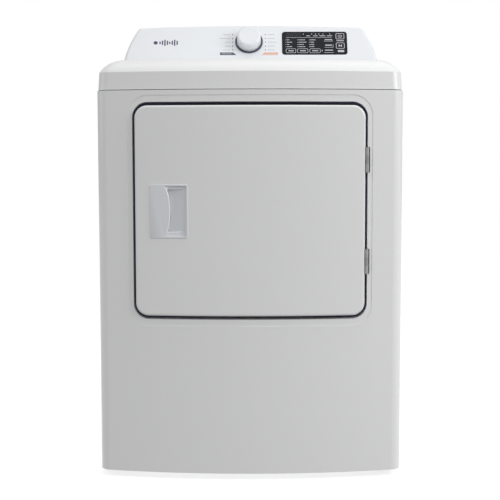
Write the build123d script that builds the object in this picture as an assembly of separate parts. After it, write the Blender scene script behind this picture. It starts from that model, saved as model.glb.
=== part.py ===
"""Full-size vented clothes dryer, front loading, in its separate pieces.

Millimetres. +Z is up, -Y is the front, +X is the hinge side. The origin is on the
floor, under the middle of the overall box. Each function makes one piece or one
group of like pieces; the table at the end gives every piece its name.
"""
from build123d import *
import math
import os

# ---------------------------------------------------------------- driving dimensions
# Cabinet
cabinet_width = 686.0
overall_depth = 700.0        # door face to the end of the exhaust collar
foot_height = 15.0           # floor to the cabinet's lower edge
body_height = 860.5          # cabinet's lower edge to the seam under the top cover
front_bow = 38.5             # how far the middle of the front stands ahead of its corners
corner_radius = 28.0
sheet = 1.0                  # cabinet steel
front_return = 28.0          # how far the front panel wraps round on to the sides
hem = 14.0                   # turned-in edges
fit_gap = 0.2                # between sheet parts that slot together

# Top cover
seam_gap = 1.5
band_height = 39.0
cover_setback = 2.0          # top cover's lower edge, in from the cabinet side
band_draft = 2.3             # further in at the top of the band
shoulder_rise = 31.5
shoulder_start = 30.0        # degrees: how far the shoulder already leans where it leaves the band
shoulder_width = 55.0
cover_corner_radius = 29.0

# Console
console_height = 132.5       # above the flat top
console_tilt = 30.0          # degrees back from upright
console_foot_setback = 178.0  # rear panel to the foot of the sloping face
console_base_inset = 5.0     # cabinet side to console side at its foot
console_mid_inset = 20.0
console_top_inset = 45.0
console_crown = 6.0
console_round = 9.0
console_wall = 2.5

# Controls on the console face
controls_offset = -4.0       # the dial sits a little left of the middle
dial_height = 87.5           # flat top up to the dial's centre
dial_ring_radius = 37.0
knob_radius = 31.5
knob_height = 29.0
knob_clearance = 0.6
display_left = 84.0
display_width = 173.5
display_height = 74.0
display_rise = 83.5          # flat top up to the display's centre
display_thickness = 2.0
display_proud = 0.8
display_ledge = 4.0
display_radius = 8.0

# Door and its opening
door_side_margin = 87.0      # cabinet side to door edge
door_top_margin = 34.2       # seam down to the door's top edge
door_bottom_height = 358.5   # cabinet's lower edge up to the door's bottom edge
door_proud = 6.0             # door face ahead of the cabinet face
door_corner_radius = 28.0
door_wall = 1.0
door_edge_round = 5.0
liner_thickness = 3.0
liner_dish_gap = 17.5        # handle insert to the rim of the round dish
liner_dish_depth = 12.0
gap_side = 6.0
gap_top = 8.0
emboss_side = 12.0
emboss_top = 16.0
emboss_depth = 1.0
recess_depth = 20.0          # opening edge back to the surround
surround_thickness = 2.0
surround_land = 24.0
door_stand_off = 4.0         # door's back face to the surround
gasket_width = 4.5
running_gap = 0.3            # between pieces that move past each other
pin_clearance = 0.05         # radial, on pins and shafts

# Handle insert
handle_width = 85.0
handle_height = 120.0
handle_inset = 33.5          # door edge to the insert
handle_radius = 7.0
handle_flange = 1.5
handle_depth = 20.0
grip_width = 40.5            # left edge of the insert to the ends of the grip edge
grip_bulge = 8.0

# Hinges
hinge_spacing = 227.0
hinge_height = 54.0
hinge_barrel_radius = 4.2
hinge_pin_radius = 2.2
hinge_leaf = 1.5

# Drum
drum_side_clearance = 30.0   # cabinet's inner side to the drum
drum_drop = 12.0             # drum axis below the door's middle
drum_wall = 1.2
mouth_land = 56.0            # door edge to the edge of the round mouth
felt_thickness = 9.0
collar_wall = 2.0
neck_length = 13.0
baffle_height = 58.0
baffle_width = 72.0
rear_duct_depth = 44.0       # rear bulkhead to rear panel
duct_depth = 32.0            # lint duct, front to back

# Drive and air
motor_x = 60.0
motor_height = 110.0         # shaft above the base pan
stator_radius = 72.0
stator_length = 130.0
shaft_radius = 6.0
blower_radius = 80.0
blower_depth = 80.0
blower_wall = 2.0
pulley_radius = 12.0
belt_thickness = 3.0
belt_width = 10.0
idler_radius = 30.0
idler_offset = (-80.0, 35.0)  # idler's centre from the motor shaft
idler_pivot_offset = (-40.0, -60.0)
roller_radius = 35.0
roller_width = 24.0
roller_angle = 28.0          # from straight below the drum axis
axle_radius = 6.0
exhaust_radius = 50.8
exhaust_wall = 0.8
exhaust_x = -110.0
collar_length = 32.0         # exhaust pipe standing out of the rear panel

# Lint filter
filter_width = 210.0
filter_length = 214.0
filter_thickness = 12.0
filter_rim = 9.0
screen_thickness = 1.0

# Rear fittings
terminal_x = -230.0
terminal_height = 165.0
cord_bore_radius = 11.0
clamp_plate = 3.0

# Feet
foot_inset_side = 53.0
foot_inset_front = 62.0
foot_inset_rear = 48.0
foot_radius = 19.0
foot_pad = 12.0
foot_stud_radius = 5.0

# ---------------------------------------------------------------- places that follow
half_width = cabinet_width / 2
inner_half = half_width - sheet
rear_face_y = overall_depth / 2 - collar_length
rear_sheet_y = rear_face_y - sheet
panel_face_y = -overall_depth / 2 + door_proud
bow_radius = (half_width ** 2 + front_bow ** 2) / (2 * front_bow)
bow_centre_y = panel_face_y + bow_radius

body_bottom = foot_height
seam_z = body_bottom + body_height
cover_bottom = seam_z + seam_gap
band_top = cover_bottom + band_height
flat_top = band_top + shoulder_rise
console_top = flat_top + console_height
pan_floor = body_bottom + 9.0

door_half = half_width - door_side_margin
door_bottom = body_bottom + door_bottom_height
door_top = seam_z - door_top_margin
door_mid = (door_bottom + door_top) / 2
opening_half = door_half + gap_side


def bow_y(x, behind=0.0):
    """Y of the bowed front at x, on the surface that lies `behind` the cabinet face."""
    return bow_centre_y - math.sqrt((bow_radius - behind) ** 2 - x ** 2)


surround_y = bow_y(opening_half) + recess_depth
door_back_y = surround_y - door_stand_off
bulkhead_y = surround_y + surround_thickness
bulkhead_back_y = bulkhead_y + sheet
duct_back_y = bulkhead_back_y + duct_depth
neck_front_y = duct_back_y + 1.0
drum_front_y = neck_front_y + neck_length
rear_bulkhead_y = rear_sheet_y - rear_duct_depth
drum_rear_y = rear_bulkhead_y - 6.0

drum_radius = inner_half - drum_side_clearance
drum_z = door_mid - drum_drop
mouth_radius = door_half - mouth_land
collar_radius = mouth_radius + collar_wall
felt_radius = collar_radius + felt_thickness
neck_radius = felt_radius + running_gap
rear_felt_radius = drum_radius - drum_wall - running_gap

motor_z = pan_floor + sheet + motor_height
exhaust_z = pan_floor + sheet + 12.0 + exhaust_radius
blower_front_y = duct_back_y + 0.2
blower_back_y = blower_front_y + blower_depth
stator_front_y = blower_back_y + 36.0
stator_back_y = stator_front_y + stator_length
belt_y = stator_back_y + 44.0
idler_x = motor_x + idler_offset[0]
idler_z = motor_z + idler_offset[1]
pivot_x = motor_x + idler_pivot_offset[0]
pivot_z = motor_z + idler_pivot_offset[1]

filter_y = bulkhead_back_y + 10.0
filter_top = drum_z - mouth_radius - 4.0
duct_bottom = pan_floor + 21.0

hinge_x = door_half + 4.0
hinge_y = bow_y(hinge_x, -door_proud) + 2.6
hinge_z = [door_mid - hinge_spacing / 2, door_mid + hinge_spacing / 2]
strike_x = -(door_half - 12.0)
switch_z = door_mid + 64.0

console_foot_y = rear_face_y - console_foot_setback
tilt = math.radians(console_tilt)


def face_y(height):
    """Y of the console's sloping face at a height above the flat top."""
    return console_foot_y + height * math.tan(tilt)


def face_plane(x, height):
    """Plane on the console's face: its X runs right, its Y up the face, its Z outwards."""
    return Plane(origin=(x, face_y(height), flat_top + height), x_dir=(1, 0, 0),
                 z_dir=(0, -math.cos(tilt), math.sin(tilt)))


# ---------------------------------------------------------------- shape helpers
def block(x, y, z):
    """Box from three (low, high) pairs."""
    return Pos(sum(x) / 2, sum(y) / 2, sum(z) / 2) * Box(x[1] - x[0], y[1] - y[0], z[1] - z[0])


def rod_y(x, z, y0, y1, radius):
    """Cylinder along Y."""
    return Pos(x, (y0 + y1) / 2, z) * Rot(90, 0, 0) * Cylinder(radius, y1 - y0)


def ring_y(x, z, y0, y1, outer, inner):
    return rod_y(x, z, y0, y1, outer) - rod_y(x, z, y0 - 1, y1 + 1, inner)


def slab(sketch, y0, y1):
    """A sketch drawn in X and Z, made solid from y0 back to y1."""
    front = Plane(origin=(0, y0, 0), x_dir=(1, 0, 0), z_dir=(0, -1, 0))
    return extrude(front * sketch, amount=y1 - y0, dir=(0, 1, 0))


def rounded(half, z0, z1, radius, x=0.0):
    """Rounded rectangle in X and Z."""
    return Pos(x, (z0 + z1) / 2) * RectangleRounded(2 * half, z1 - z0, radius)


def door_outline(grow=0.0, grow_z=None):
    """The door's outline, grown evenly, or by grow_z at its top and bottom."""
    up = grow if grow_z is None else grow_z
    return rounded(door_half + grow, door_bottom - up, door_top + up, door_corner_radius + grow)


def plan(inset, y_back, radius):
    """The cabinet's plan outline, set in from its skin, with rounded front corners."""
    half = half_width - inset
    corner_y = bow_y(half, inset)
    outline = [
        ThreePointArc((-half, corner_y), (0, bow_y(0, inset)), (half, corner_y)),
        Line((half, corner_y), (half, y_back)),
        Line((half, y_back), (-half, y_back)),
        Line((-half, y_back), (-half, corner_y)),
    ]
    face = make_face(outline)
    return fillet(face.vertices().sort_by(Axis.Y)[:2], radius)


def column(inset, y_back, z0, z1, radius):
    """The plan outline, made solid between two heights."""
    return extrude(Plane.XY.offset(z0) * plan(inset, y_back, radius), amount=z1 - z0, dir=(0, 0, 1))


def bowed(front, back, half, z0, z1):
    """A slab between two bowed surfaces, each so far behind the cabinet face."""
    def segment(behind):
        arc = ThreePointArc((-half, bow_y(half, behind)), (0, bow_y(0, behind)), (half, bow_y(half, behind)))
        back_y = bow_y(half, behind) + 200.0
        chord = Polyline((half, bow_y(half, behind)), (half, back_y), (-half, back_y),
                         (-half, bow_y(half, behind)))
        face = make_face([arc, *chord.edges()])
        return extrude(Plane.XY.offset(z0) * face, amount=z1 - z0, dir=(0, 0, 1))
    return segment(front) - segment(back)


def turned(piece, count, z):
    """Copies of a piece, evenly spaced about a Y axis at the given height."""
    return [Pos(0, 0, z) * Rot(0, 360.0 * i / count, 0) * piece for i in range(count)]


# ---------------------------------------------------------------- cabinet
def front_panel():
    """Bowed steel front with the embossed step and the recessed door opening."""
    corner_y = bow_y(half_width)
    back_y = corner_y + front_return
    skin = column(0, back_y, body_bottom, seam_z, corner_radius)
    skin -= column(sheet, back_y + 1, body_bottom - 1, seam_z + 1, corner_radius - sheet)
    hems = column(sheet, back_y, body_bottom, seam_z, corner_radius - sheet)
    hems -= column(hem, back_y + 1, body_bottom - 1, seam_z + 1, corner_radius - hem)
    hems -= block((-half_width, half_width), (-overall_depth, overall_depth),
                  (body_bottom + sheet, seam_z - sheet))
    step = door_outline(gap_side + emboss_side, gap_top + emboss_top)
    step_inner = door_outline(gap_side + emboss_side - sheet, gap_top + emboss_top - sheet)
    opening = door_outline(gap_side, gap_top)
    lip = door_outline(gap_side + sheet, gap_top + sheet)
    wide = door_half + gap_side + emboss_side + 4
    low, high = door_bottom - 40, seam_z - 2
    far = panel_face_y - 20
    deep = surround_y
    panel = skin - slab(step, far, deep)
    panel += slab(step, far, deep) & bowed(emboss_depth, emboss_depth + sheet, wide, low, high)
    panel += (slab(step, far, deep) - slab(step_inner, far, deep)) & bowed(
        0, emboss_depth + sheet, wide, low, high)
    panel -= slab(opening, far, deep)
    collar = slab(lip, far, deep) - slab(opening, far - 1, deep + 1)
    collar &= bowed(emboss_depth, emboss_depth + 60, wide, low, high)
    panel += collar + hems
    for z in hinge_z:
        panel -= block((opening_half - 2, opening_half + 5), (far, hinge_y + 7),
                       (z - hinge_height / 2 - 1, z + hinge_height / 2 + 1))
    return panel


def side_panel(side):
    """Flat steel side with turned-in top, bottom and front edges."""
    front_y = bow_y(half_width) + front_return + 0.4
    back_y = rear_face_y
    x0, x1 = sorted((side * inner_half, side * half_width))
    f0, f1 = sorted((side * (half_width - hem), side * half_width))
    panel = block((x0, x1), (front_y, back_y), (body_bottom, seam_z))
    panel += block((f0, f1), (front_y, back_y), (seam_z - sheet, seam_z))
    panel += block((f0, f1), (front_y, back_y), (body_bottom, body_bottom + sheet))
    panel += block((f0, f1), (front_y, front_y + sheet), (body_bottom, seam_z))
    return panel


rear_half = inner_half - fit_gap
rear_z = (body_bottom + sheet + fit_gap, seam_z - sheet - fit_gap)


def rear_screw_places():
    """Screws round the rear panel, as (x, z)."""
    x = rear_half - 9.0
    low, high = rear_z[0] + 12.0, rear_z[1] - 12.0
    sides = [(s * x, low + (high - low) * i / 3) for i in range(4) for s in (-1, 1)]
    return sides + [(s * x / 3, high) for s in (-1, 1)]


def console_screw_places():
    high = flat_top + console_height - 40.0
    low_row = [(s * (half_width - 70.0), flat_top + 22.0) for s in (-1, 1)]
    return low_row + [(s * 110.0, high) for s in (-1, 1)]


def terminal_screw_places():
    return [(terminal_x + s * 50.0, body_bottom + terminal_height + 26.0) for s in (-1, 1)]


def drill_y(piece, places, y0, y1, radius):
    """Round holes along Y at each (x, z)."""
    for x, z in places:
        piece -= rod_y(x, z, y0, y1, radius)
    return piece


screw_radius = 2.0
screw_hole = screw_radius + fit_gap
screw_head = 4.6
screw_head_height = 2.6
rear_panel_hole = exhaust_radius + 2.0
terminal_half = 42.0
terminal_z = body_bottom + terminal_height


def rear_panel():
    """Rear sheet with the exhaust hole, terminal hole, air louvres and pressed ribs."""
    panel = block((-rear_half, rear_half), (rear_sheet_y, rear_face_y), rear_z)
    panel -= rod_y(exhaust_x, exhaust_z, rear_sheet_y - 5, rear_face_y + 5, rear_panel_hole)
    panel -= block((terminal_x - terminal_half + 6, terminal_x + terminal_half - 6),
                   (rear_sheet_y - 5, rear_face_y + 5), (terminal_z - 22, terminal_z + 22))
    slots = []
    for column_x in (130.0, 215.0):
        for row in range(9):
            z = body_bottom + 60.0 + 16.0 * row
            slots.append(block((column_x, column_x + 60), (rear_sheet_y - 5, rear_face_y + 5), (z, z + 4)))
    panel -= slots
    for x in (-half_width / 3, 0.0, half_width / 3):
        rib = Pos(x, rear_face_y - sheet / 2, drum_z) * Box(14.0, sheet, 2 * mouth_radius)
        panel += Pos(0, sheet, 0) * rib
    panel = drill_y(panel, rear_screw_places() + terminal_screw_places(), rear_sheet_y - 5, rear_face_y + 5,
                    screw_hole)
    return panel


def foot_places():
    front_y = bow_y(half_width - foot_inset_side) + foot_inset_front + foot_radius
    back_y = rear_face_y - foot_inset_rear
    x = half_width - foot_inset_side
    return {"front_left_foot": (-x, front_y), "front_right_foot": (x, front_y),
            "rear_left_foot": (-x, back_y), "rear_right_foot": (x, back_y)}


boss_radius = 13.0
boss_bottom = foot_pad + running_gap
boss_top = pan_floor + 18.0


def base_pan():
    """Pressed base with upturned edges and a threaded boss for each foot."""
    inset = sheet + fit_gap
    back_y = rear_sheet_y - fit_gap
    rim = pan_floor + 30.0
    radius = corner_radius - inset
    pan = column(hem + 0.5, back_y, pan_floor, rim, radius)
    pan -= column(hem + 0.5 + sheet, back_y - sheet, pan_floor + sheet, rim + 1, radius)
    for x, y in foot_places().values():
        pan += Pos(x, y, (boss_bottom + boss_top) / 2) * Cylinder(boss_radius, boss_top - boss_bottom)
    pan -= rod_y(exhaust_x, exhaust_z, 0, rear_face_y, rear_panel_hole)
    for x, y in foot_places().values():
        pan -= Pos(x, y, boss_bottom) * Cylinder(foot_stud_radius + pin_clearance, 4 * boss_top)
    return pan


def foot(place):
    """Levelling foot: round pad with a domed top and a threaded stud."""
    x, y = place
    stud_top = boss_top + 12.0
    pad = Pos(x, y, foot_pad / 2) * Cylinder(foot_radius, foot_pad)
    pad = chamfer(pad.edges().group_by(Axis.Z)[-1], 3.0)
    pad = fillet(pad.edges().group_by(Axis.Z)[0], 1.0)
    return pad + Pos(x, y, (foot_pad + stud_top) / 2) * Cylinder(foot_stud_radius, stud_top - foot_pad)


def top_brace():
    """Channel across the front, under the top cover."""
    y0 = bulkhead_back_y + 3.0
    half = half_width - hem - fit_gap
    z1 = seam_z - sheet - fit_gap
    rail = block((-half, half), (y0, y0 + 20.0), (z1 - 15.0, z1))
    return rail - block((-half - 1, half + 1), (y0 + 1.2, y0 + 21.0), (z1 - 16.0, z1 - 1.2))


def cover_solid(wall):
    """The top cover's outer form, or the hollow inside it when wall is more than zero."""
    steps = 6
    back_y = rear_face_y - wall
    radius = cover_corner_radius - wall
    lower = cover_bottom - (1.0 if wall else 0.0)
    sections = [Plane.XY.offset(lower) * plan(cover_setback + wall, back_y, radius)]
    band_inset = cover_setback + band_draft
    sections.append(Plane.XY.offset(band_top) * plan(band_inset + wall, back_y, radius))
    band = loft(sections)
    sections = []
    start = math.radians(shoulder_start)
    for i in range(steps + 1):
        angle = start + (math.pi / 2 - start) * i / steps
        inset = band_inset + wall + shoulder_width * (1 - math.cos(angle) / math.cos(start))
        climb = (math.sin(angle) - math.sin(start)) / (1 - math.sin(start))
        z = band_top + (shoulder_rise - wall) * climb
        sections.append(Plane.XY.offset(z) * plan(inset, back_y, radius))
    shoulder = loft(sections)
    return band + shoulder


cover_wall = 1.2


def top_cover():
    """Pressed top: upright band, rounded shoulder and flat worktop."""
    cover = cover_solid(0) - cover_solid(cover_wall)
    lip_half = half_width - cover_setback - cover_wall
    lip = block((-lip_half, lip_half), (rear_face_y - cover_wall, rear_face_y), (cover_bottom, band_top))
    return cover + lip


def console_solid(wall):
    """The console's form, or the hollow inside it when wall is more than zero."""
    rise = console_height - wall
    foot_drop = 26.0
    profile = Polyline(
        (face_y(-foot_drop) + wall / math.cos(tilt), flat_top - foot_drop),
        (face_y(rise) + wall / math.cos(tilt), flat_top + rise),
        (rear_face_y + (1 if wall else 0), flat_top + rise),
        (rear_face_y + (1 if wall else 0), flat_top - foot_drop), close=True)
    side = make_face(Plane.YZ * profile)
    form = extrude(side, amount=half_width, both=True, dir=(1, 0, 0))
    base = half_width - console_base_inset - wall
    middle = half_width - console_mid_inset - wall
    top = half_width - console_top_inset - wall
    shoulder_z = flat_top + rise - console_crown
    low_z = flat_top - foot_drop - 1
    right = ThreePointArc((base, low_z), (middle, flat_top + 0.6 * console_height), (top, shoulder_z))
    crown = ThreePointArc((top, shoulder_z), (0, flat_top + rise), (-top, shoulder_z))
    left = ThreePointArc((-top, shoulder_z), (-middle, flat_top + 0.6 * console_height), (-base, low_z))
    front = make_face([right, crown, left, Line((-base, low_z), (base, low_z))])
    front = fillet(front.vertices().sort_by(Axis.Y)[-2:], 12.0 - wall)
    form &= slab(front, console_foot_y - 60, rear_face_y + 5)
    face = face_plane(0, 0)
    rim = [e for e in form.edges()
           if e.center().Z > flat_top - foot_drop + 1 and face.to_local_coords(e.center()).Z > -wall - 0.6]
    return fillet(rim, console_round - wall)


def console_fascia():
    """Moulded console: face, top and ends, seated on the top cover."""
    fascia = console_solid(0) - console_solid(console_wall)
    fascia -= cover_solid(0)
    back = display_proud - display_thickness
    recess = face_plate(fit_gap, display_radius + fit_gap, back, display_thickness)
    window = face_plate(-display_ledge, display_radius - display_ledge, -3 * console_wall, 3 * console_wall)
    dial = face_plane(controls_offset, dial_height)
    return fascia - recess - window - dial * Cylinder(5.0, 30.0)


def face_plate(grow, radius, start, thickness):
    """Rounded plate over the display's place, from a height off the console face."""
    plane = face_plane(display_left + display_width / 2, display_rise).offset(start)
    outline = RectangleRounded(display_width + 2 * grow, display_height + 2 * grow, radius)
    return extrude(plane * outline, amount=thickness, dir=tuple(plane.z_dir))


def display_panel():
    """Glass-fronted touch panel, set into the console face."""
    face = face_plane(0, 0)
    panel = face_plate(0, display_radius, display_proud - display_thickness, display_thickness)
    rim = [e for e in panel.edges() if face.to_local_coords(e.center()).Z > display_proud - 0.01]
    return fillet(rim, 0.5)


def console_back_panel():
    """Steel sheet that closes the back of the console."""
    sheet_y = rear_sheet_y
    form = console_solid(console_wall) & block((-half_width, half_width), (sheet_y, rear_face_y),
                                               (flat_top + fit_gap, console_top))
    panel = form - cover_solid(0)
    return drill_y(panel, console_screw_places(), sheet_y - 3, rear_face_y + 3, screw_hole)


def control_board():
    """Circuit board behind the console face, with the selector switch on it."""
    left = controls_offset - 30.0
    right = display_left + display_width - 10.0
    plane = face_plane((left + right) / 2, dial_height - 3).offset(-console_wall - 8.0)
    board = plane * Box(right - left, 62.0, 1.6)
    dial = face_plane(controls_offset, dial_height)
    case = dial.offset(-console_wall - 4.2) * Box(16.0, 16.0, 6.0)
    chip = face_plane(display_left + 60.0, dial_height - 3).offset(-console_wall - 6.0) * Box(20.0, 20.0, 2.4)
    bore = dial.offset(-console_wall - 4.0) * Cylinder(3.0 + pin_clearance, 40.0)
    return board + case + chip - bore


def selector_ring():
    """Dark ring that frames the selector knob."""
    plane = face_plane(controls_offset, dial_height)
    ring = plane.offset(1.25) * Cylinder(dial_ring_radius, 2.5)
    ring = fillet(ring.edges().filter_by(lambda e: plane.to_local_coords(e.center()).Z > 2.4), 1.0)
    return ring - plane * Cylinder(knob_radius + knob_clearance, 20.0)


def selector_knob():
    """Round knob with a softly rounded front edge and a D-bored hub on its shaft."""
    plane = face_plane(controls_offset, dial_height)
    knob = plane.offset(knob_clearance + knob_height / 2) * Cylinder(knob_radius, knob_height)
    front = knob_clearance + knob_height
    rim = knob.edges().filter_by(lambda e: abs(plane.to_local_coords(e.center()).Z - front) < 0.01)
    knob = fillet(rim, 6.0)
    hollow = plane.offset(knob_clearance + knob_height / 2 - 4) * Cylinder(knob_radius - 3, knob_height - 3)
    hub = plane.offset(knob_clearance + knob_height / 2) * Cylinder(7.0, knob_height - 2)
    return knob - hollow + hub - plane.offset(knob_clearance + 7.5) * Cylinder(3.0, 15.0 + 2 * knob_clearance)


def knob_shaft():
    """Selector spindle, from inside the knob's hub to the switch."""
    plane = face_plane(controls_offset, dial_height)
    inner = console_wall + 6.5
    outer = knob_clearance + 15.0
    return plane.offset((outer - inner) / 2) * Cylinder(3.0, outer + inner)


# ---------------------------------------------------------------- door opening, bulkheads
def strike_slot(y0, y1, margin):
    return block((strike_x - 3 - margin, strike_x + 3 + margin), (y0, y1),
                 (door_mid - 7 - margin, door_mid + 7 + margin))


def door_surround():
    """Dark moulded frame at the bottom of the recess, that the door seals against."""
    ring = slab(door_outline(gap_side + 5, gap_top + 5), surround_y, bulkhead_y)
    ring -= slab(door_outline(-surround_land), surround_y - 1, bulkhead_y + 1)
    ring -= strike_slot(surround_y - 1, bulkhead_y + 1, 4.0)
    return ring - rod_y(strike_x, switch_z, surround_y - 1, bulkhead_y + 1, 4.0)


def filter_slot(margin):
    half = filter_width / 2 + margin
    reach = filter_thickness / 2 + margin
    return block((-half, half), (filter_y - reach, filter_y + reach),
                 (duct_bottom + 30, drum_z))


def front_bulkhead():
    """Steel wall behind the front panel, with the collar that the drum's front turns on."""
    half = half_width - hem - fit_gap
    wall = block((-half, half), (bulkhead_y, bulkhead_back_y), (door_bottom - 60, seam_z - 3))
    wall += rod_y(0, drum_z, bulkhead_y, drum_front_y - 0.5, collar_radius)
    wall -= rod_y(0, drum_z, bulkhead_y - 1, drum_front_y + 1, mouth_radius)
    wall -= filter_slot(2.0) & rod_y(0, drum_z, bulkhead_back_y, drum_front_y, collar_radius + 1)
    wall -= strike_slot(bulkhead_y - 1, bulkhead_back_y + 1, 4.0)
    return wall - rod_y(strike_x, switch_z, bulkhead_y - 1, bulkhead_back_y + 1, 4.0)


def rear_collar():
    return rear_felt_radius - felt_thickness


lamp_x = 0.42 * drum_radius
lamp_z = drum_z + 0.5 * drum_radius
lamp_radius = 26.0
heater_x = (150.0 / 343.0 * half_width, 150.0 / 343.0 * half_width + 110.0)
heater_z = (body_bottom + 110.0, drum_z - 40.0)


def rear_bulkhead():
    """Fixed rear wall of the drum space, with warm-air holes and the lamp hole."""
    half = half_width - hem - fit_gap
    wall = block((-half, half), (rear_bulkhead_y, rear_bulkhead_y + sheet),
                 (drum_z - drum_radius - 8, drum_z + drum_radius + 4))
    wall += ring_y(0, drum_z, rear_bulkhead_y - 16.0, rear_bulkhead_y + sheet / 2,
                   rear_collar(), rear_collar() - 1.2)
    holes = []
    for i in range(7):
        for j in range(6):
            x = heater_x[0] + 14 + i * (heater_x[1] - heater_x[0] - 28) / 6
            holes.append(rod_y(x, heater_z[1] - 14 - 14 * j, rear_bulkhead_y - 1, rear_bulkhead_y + 2, 4.0))
    wall -= holes
    return wall - rod_y(lamp_x, lamp_z, rear_bulkhead_y - 2, rear_bulkhead_y + 2, lamp_radius + fit_gap)


def drum_lamp():
    """Drum light: glass lens in front and a holder behind."""
    lens = rod_y(lamp_x, lamp_z, rear_bulkhead_y - 5, rear_bulkhead_y + sheet, lamp_radius)
    lens = fillet(lens.edges().group_by(Axis.Y)[0], 3.0)
    return lens + rod_y(lamp_x, lamp_z, rear_bulkhead_y + sheet, rear_bulkhead_y + 22, lamp_radius - 8)


def drum_felts():
    """Felt bands that the drum's two ends turn on."""
    front = ring_y(0, drum_z, neck_front_y, drum_front_y - 0.5, felt_radius, collar_radius)
    rear = ring_y(0, drum_z, rear_bulkhead_y - 16.0, drum_rear_y, rear_felt_radius, rear_collar())
    return Part() + [front, rear]


def moisture_bars():
    """Two metal strips in the floor of the mouth that feel for damp."""
    wedge = block((-34, 34), (neck_front_y, drum_front_y),
                  (drum_z - mouth_radius - 5, drum_z - mouth_radius / 2))
    bars = [ring_y(0, drum_z, y, y + 2.5, mouth_radius, mouth_radius - 1.5) & wedge
            for y in (neck_front_y + 1, neck_front_y + 7)]
    return Part() + bars


# ---------------------------------------------------------------- drum
def drum_shell():
    """Rolled drum with a flanged front end, a neck round the mouth and two stiffening beads."""
    shell = ring_y(0, drum_z, drum_front_y, drum_rear_y, drum_radius, drum_radius - drum_wall)
    shell += ring_y(0, drum_z, drum_front_y, drum_front_y + drum_wall, drum_radius, neck_radius)
    shell += ring_y(0, drum_z, neck_front_y, drum_front_y + drum_wall, neck_radius + drum_wall, neck_radius)
    return shell


def drum_baffles():
    """Three moulded lifters that carry the load up as the drum turns."""
    inner = drum_radius - drum_wall
    tip = inner - baffle_height
    outline = Polyline((-baffle_width / 2, inner - 6), (-12, tip), (12, tip),
                       (baffle_width / 2, inner - 6), (baffle_width / 2, inner + 6),
                       (-baffle_width / 2, inner + 6), close=True)
    y0, y1 = drum_front_y + 40.0, drum_rear_y - 40.0
    vane = slab(make_face(outline), y0, y1)
    vane = fillet(vane.edges().filter_by(Axis.Y).group_by(Axis.Z)[0], 9.0)
    vane &= rod_y(0, 0, y0 - 1, y1 + 1, inner)
    return Part() + turned(vane, 3, drum_z)


def roller_place(side):
    reach = drum_radius + running_gap + roller_radius
    return (side * reach * math.sin(math.radians(roller_angle)),
            drum_z - reach * math.cos(math.radians(roller_angle)))


roller_back_y = drum_rear_y - 4.0
roller_front_y = roller_back_y - roller_width


def drum_roller(side):
    """Rubber-tyred wheel under the drum's rear end."""
    x, z = roller_place(side)
    wheel = rod_y(x, z, roller_front_y, roller_back_y, roller_radius)
    wheel = fillet(wheel.edges(), 3.0)
    wheel -= ring_y(x, z, roller_front_y - 1, roller_front_y + 5, roller_radius - 8, 12.0)
    return wheel - rod_y(x, z, roller_front_y - 1, roller_back_y + 1, axle_radius + pin_clearance)


def roller_axles():
    """Fixed stub axles on the rear bulkhead, each with a head that keeps its roller on."""
    axles = []
    for side in (-1, 1):
        x, z = roller_place(side)
        axle = rod_y(x, z, roller_front_y - 4, rear_bulkhead_y, axle_radius)
        axle += rod_y(x, z, roller_front_y - 4, roller_front_y - 0.5, 10.0)
        axle += rod_y(x, z, roller_back_y + 0.5, rear_bulkhead_y, 11.0)
        axles.append(axle)
    return Part() + axles


# ---------------------------------------------------------------- drive
def motor_stator():
    """Motor body: stator and end bells round the rotor."""
    body = rod_y(motor_x, motor_z, stator_front_y, stator_back_y, stator_radius)
    body = fillet(body.edges(), 8.0)
    body -= rod_y(motor_x, motor_z, stator_front_y + 8, stator_back_y - 8, stator_radius / 2)
    return body - rod_y(motor_x, motor_z, stator_front_y - 1, stator_back_y + 1, shaft_radius + pin_clearance)


def motor_shaft():
    """Motor shaft with its rotor and its grooved belt end."""
    front_y = blower_back_y - 34.0
    end_y = belt_y + 14.0
    shaft = rod_y(motor_x, motor_z, front_y, end_y, shaft_radius)
    shaft += rod_y(motor_x, motor_z, stator_front_y + 14, stator_back_y - 14, stator_radius / 2 - 0.8)
    shaft += rod_y(motor_x, motor_z, belt_y - 9, belt_y + 9, pulley_radius)
    for side in (-1, 1):
        y0, y1 = sorted((belt_y + side * 7.5, belt_y + side * 10.0))
        shaft += rod_y(motor_x, motor_z, y0, y1, pulley_radius + 4)
    return shaft


def motor_mount():
    """Steel cradle under the motor, with the post that the idler arm turns on."""
    floor = pan_floor + sheet
    y0, y1 = stator_front_y + 8, stator_back_y - 8
    plate = block((motor_x - 60, motor_x + 60), (y0, belt_y + 32), (floor, floor + 2.5))
    for y in (y0, y1 - 4):
        plate += block((motor_x - 56, motor_x + 56), (y, y + 4), (floor, motor_z - 20))
    plate -= rod_y(motor_x, motor_z, stator_front_y - 10, stator_back_y + 10, stator_radius)
    post_y = belt_y + 26
    plate += block((pivot_x - 12, pivot_x + 12), (post_y, post_y + 4), (floor, pivot_z + 13))
    return plate + rod_y(pivot_x, pivot_z, belt_y + 16, post_y, foot_stud_radius)


def blower_wheel():
    """Squirrel-cage fan on the motor shaft."""
    y1 = blower_back_y - 8.0
    y0 = blower_front_y + 10.0
    wheel = rod_y(0, 0, y1 - 2.0, y1, blower_radius)
    wheel += ring_y(0, 0, y0, y0 + 2.0, blower_radius, blower_radius - 20)
    wheel += rod_y(0, 0, y1 - 24.0, y1, 16.0)
    blade = Pos(blower_radius - 11, (y0 + y1) / 2, 0) * Rot(0, 28, 0) * Box(20.0, y1 - y0, 1.5)
    blade &= rod_y(0, 0, y0, y1, blower_radius)
    wheel += turned(blade, 20, 0)
    wheel -= rod_y(0, 0, y0 - 5, y1 + 5, shaft_radius)
    return Pos(motor_x, 0, motor_z) * wheel


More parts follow.
